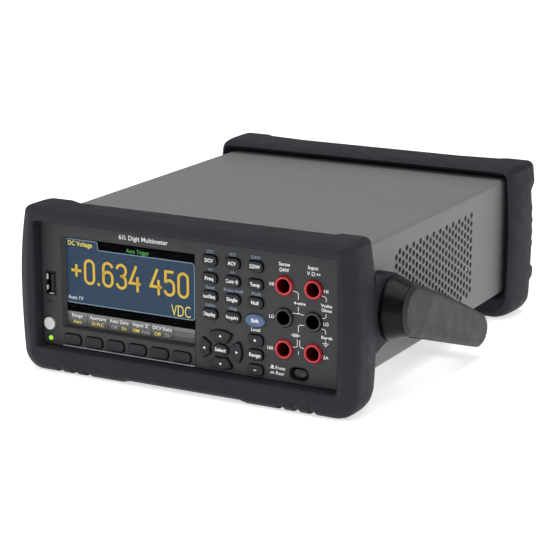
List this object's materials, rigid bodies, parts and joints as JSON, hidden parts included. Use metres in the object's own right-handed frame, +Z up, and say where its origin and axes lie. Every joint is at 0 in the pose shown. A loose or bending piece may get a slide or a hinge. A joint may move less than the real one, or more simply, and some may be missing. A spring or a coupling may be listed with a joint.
{
  "type": "bench multimeter",
  "caption": "Half-rack bench multimeter: grey metal cover between two rubber bumpers, colour screen, pressable keys, banana sockets and a swinging carry handle.",
  "frame": {"origin": "on the surface that the instrument stands on, under the middle of its outer box", "axes": "+X to the right of someone facing the front panel, +Y from the front panel to the rear panel, +Z up"},
  "size_m": [0.2612, 0.2824, 0.1038],
  "materials": {
    "bumper_rubber": "matte charcoal moulded rubber with a fine grain",
    "cover_paint": "grey powder coat, fine texture",
    "chassis_steel": "zinc-plated sheet steel",
    "panel_plastic": "dark grey moulded plastic with printed legends",
    "button_grey": "dark grey soft-touch button with a white legend",
    "button_blue": "light blue button",
    "button_white": "white satin button",
    "button_black": "black button",
    "display_glass": "clear glossy window over the screen",
    "display_screen": "lit colour screen",
    "keypad_rubber": "silicone rubber",
    "circuit_board": "green solder mask",
    "jack_red": "glossy red moulding",
    "jack_black": "glossy black moulding",
    "port_shell": "tinned steel shell",
    "led_green": "lit green lens",
    "hub_plastic": "glossy black moulding",
    "handle_plastic": "mid-grey moulded plastic, fine grain",
    "rear_panel_paint": "grey painted sheet metal with printed legends",
    "moulding_black": "black moulded plastic",
    "moulding_grey": "dark grey moulded plastic",
    "plated_metal": "nickel-plated brass",
    "transformer_steel": "varnished steel laminations"
  },
  "bodies": {
    "root": {"front_bumper": "bumper_rubber", "rear_bumper": "bumper_rubber", "cover_sleeve": "cover_paint", "chassis_tray": "chassis_steel", "front_panel": "panel_plastic", "display_window": "display_glass", "display_module": "display_screen", "keypad_mat": "keypad_rubber", "front_board": "circuit_board", "main_board": "circuit_board", "sense_high_jack": "jack_red", "sense_current_jack": "jack_red", "input_high_jack": "jack_red", "input_current_jack": "jack_red", "sense_low_jack": "jack_black", "input_low_jack": "jack_black", "usb_host_port": "port_shell", "lan_port": "port_shell", "usb_device_port": "port_shell", "power_led": "led_green", "handle_hub_left": "hub_plastic", "handle_hub_right": "hub_plastic", "rear_panel": "rear_panel_paint", "power_inlet": "moulding_black", "fuse_holder": "moulding_black", "rear_terminal_block": "moulding_black", "trigger_connector": "plated_metal", "complete_connector": "plated_metal", "mains_transformer": "transformer_steel"},
    "dc_volts_key": {"dc_volts_key": "button_grey"},
    "ac_volts_key": {"ac_volts_key": "button_grey"},
    "resistance_key": {"resistance_key": "button_grey"},
    "frequency_key": {"frequency_key": "button_grey"},
    "continuity_key": {"continuity_key": "button_grey"},
    "temperature_key": {"temperature_key": "button_grey"},
    "run_stop_key": {"run_stop_key": "button_grey"},
    "single_key": {"single_key": "button_grey"},
    "null_key": {"null_key": "button_grey"},
    "display_key": {"display_key": "button_grey"},
    "acquire_key": {"acquire_key": "button_grey"},
    "shift_key": {"shift_key": "button_blue"},
    "range_up_key": {"range_up_key": "button_grey"},
    "range_key": {"range_key": "button_grey"},
    "range_down_key": {"range_down_key": "button_grey"},
    "select_key": {"select_key": "button_grey"},
    "nav_up_key": {"nav_up_key": "button_grey"},
    "nav_down_key": {"nav_down_key": "button_grey"},
    "nav_left_key": {"nav_left_key": "button_grey"},
    "nav_right_key": {"nav_right_key": "button_grey"},
    "softkey_1": {"softkey_1": "button_grey"},
    "softkey_2": {"softkey_2": "button_grey"},
    "softkey_3": {"softkey_3": "button_grey"},
    "softkey_4": {"softkey_4": "button_grey"},
    "softkey_5": {"softkey_5": "button_grey"},
    "softkey_6": {"softkey_6": "button_grey"},
    "power_button": {"power_button": "button_white"},
    "terminal_switch": {"terminal_switch": "button_black"},
    "carry_handle": {"carry_handle": "handle_plastic"},
    "fuse_drawer": {"fuse_drawer": "moulding_grey"},
    "fuse_cap": {"fuse_cap": "moulding_grey"}
  },
  "joints": [
    {"name": "dc_volts_key_press", "type": "slide", "parent": "root", "child": "dc_volts_key", "axis": [0, 1, 0], "range_m": [0, 0.0012], "stiffness_N_per_m": 400},
    {"name": "ac_volts_key_press", "type": "slide", "parent": "root", "child": "ac_volts_key", "axis": [0, 1, 0], "range_m": [0, 0.0012], "stiffness_N_per_m": 400},
    {"name": "resistance_key_press", "type": "slide", "parent": "root", "child": "resistance_key", "axis": [0, 1, 0], "range_m": [0, 0.0012], "stiffness_N_per_m": 400},
    {"name": "frequency_key_press", "type": "slide", "parent": "root", "child": "frequency_key", "axis": [0, 1, 0], "range_m": [0, 0.0012], "stiffness_N_per_m": 400},
    {"name": "continuity_key_press", "type": "slide", "parent": "root", "child": "continuity_key", "axis": [0, 1, 0], "range_m": [0, 0.0012], "stiffness_N_per_m": 400},
    {"name": "temperature_key_press", "type": "slide", "parent": "root", "child": "temperature_key", "axis": [0, 1, 0], "range_m": [0, 0.0012], "stiffness_N_per_m": 400},
    {"name": "run_stop_key_press", "type": "slide", "parent": "root", "child": "run_stop_key", "axis": [0, 1, 0], "range_m": [0, 0.0012], "stiffness_N_per_m": 400},
    {"name": "single_key_press", "type": "slide", "parent": "root", "child": "single_key", "axis": [0, 1, 0], "range_m": [0, 0.0012], "stiffness_N_per_m": 400},
    {"name": "null_key_press", "type": "slide", "parent": "root", "child": "null_key", "axis": [0, 1, 0], "range_m": [0, 0.0012], "stiffness_N_per_m": 400},
    {"name": "display_key_press", "type": "slide", "parent": "root", "child": "display_key", "axis": [0, 1, 0], "range_m": [0, 0.0012], "stiffness_N_per_m": 400},
    {"name": "acquire_key_press", "type": "slide", "parent": "root", "child": "acquire_key", "axis": [0, 1, 0], "range_m": [0, 0.0012], "stiffness_N_per_m": 400},
    {"name": "shift_key_press", "type": "slide", "parent": "root", "child": "shift_key", "axis": [0, 1, 0], "range_m": [0, 0.0012], "stiffness_N_per_m": 400},
    {"name": "range_up_key_press", "type": "slide", "parent": "root", "child": "range_up_key", "axis": [0, 1, 0], "range_m": [0, 0.0012], "stiffness_N_per_m": 400},
    {"name": "range_key_press", "type": "slide", "parent": "root", "child": "range_key", "axis": [0, 1, 0], "range_m": [0, 0.0012], "stiffness_N_per_m": 400},
    {"name": "range_down_key_press", "type": "slide", "parent": "root", "child": "range_down_key", "axis": [0, 1, 0], "range_m": [0, 0.0012], "stiffness_N_per_m": 400},
    {"name": "select_key_press", "type": "slide", "parent": "root", "child": "select_key", "axis": [0, 1, 0], "range_m": [0, 0.0012], "stiffness_N_per_m": 400},
    {"name": "nav_up_key_press", "type": "slide", "parent": "root", "child": "nav_up_key", "axis": [0, 1, 0], "range_m": [0, 0.0012], "stiffness_N_per_m": 400},
    {"name": "nav_down_key_press", "type": "slide", "parent": "root", "child": "nav_down_key", "axis": [0, 1, 0], "range_m": [0, 0.0012], "stiffness_N_per_m": 400},
    {"name": "nav_left_key_press", "type": "slide", "parent": "root", "child": "nav_left_key", "axis": [0, 1, 0], "range_m": [0, 0.0012], "stiffness_N_per_m": 400},
    {"name": "nav_right_key_press", "type": "slide", "parent": "root", "child": "nav_right_key", "axis": [0, 1, 0], "range_m": [0, 0.0012], "stiffness_N_per_m": 400},
    {"name": "softkey_1_press", "type": "slide", "parent": "root", "child": "softkey_1", "axis": [0, 1, 0], "range_m": [0, 0.0012], "stiffness_N_per_m": 400},
    {"name": "softkey_2_press", "type": "slide", "parent": "root", "child": "softkey_2", "axis": [0, 1, 0], "range_m": [0, 0.0012], "stiffness_N_per_m": 400},
    {"name": "softkey_3_press", "type": "slide", "parent": "root", "child": "softkey_3", "axis": [0, 1, 0], "range_m": [0, 0.0012], "stiffness_N_per_m": 400},
    {"name": "softkey_4_press", "type": "slide", "parent": "root", "child": "softkey_4", "axis": [0, 1, 0], "range_m": [0, 0.0012], "stiffness_N_per_m": 400},
    {"name": "softkey_5_press", "type": "slide", "parent": "root", "child": "softkey_5", "axis": [0, 1, 0], "range_m": [0, 0.0012], "stiffness_N_per_m": 400},
    {"name": "softkey_6_press", "type": "slide", "parent": "root", "child": "softkey_6", "axis": [0, 1, 0], "range_m": [0, 0.0012], "stiffness_N_per_m": 400},
    {"name": "power_button_press", "type": "slide", "parent": "root", "child": "power_button", "axis": [0, 1, 0], "range_m": [0, 0.0018], "stiffness_N_per_m": 400},
    {"name": "terminal_switch_press", "type": "slide", "parent": "root", "child": "terminal_switch", "axis": [0, 1, 0], "range_m": [0, 0.0025], "stiffness_N_per_m": 500},
    {"name": "carry_handle_swing", "type": "hinge", "parent": "root", "child": "carry_handle", "pos_m": [0, -0.09135, 0.0573], "axis": [-1, 0, 0], "range_deg": [0, 250]},
    {"name": "fuse_drawer_slide", "type": "slide", "parent": "root", "child": "fuse_drawer", "axis": [0, 1, 0], "range_m": [0, 0.02]},
    {"name": "fuse_cap_turn", "type": "hinge", "parent": "root", "child": "fuse_cap", "pos_m": [0.008, 0.11725, 0.072], "axis": [0, 1, 0], "range_deg": [0, 45]}
  ]
}
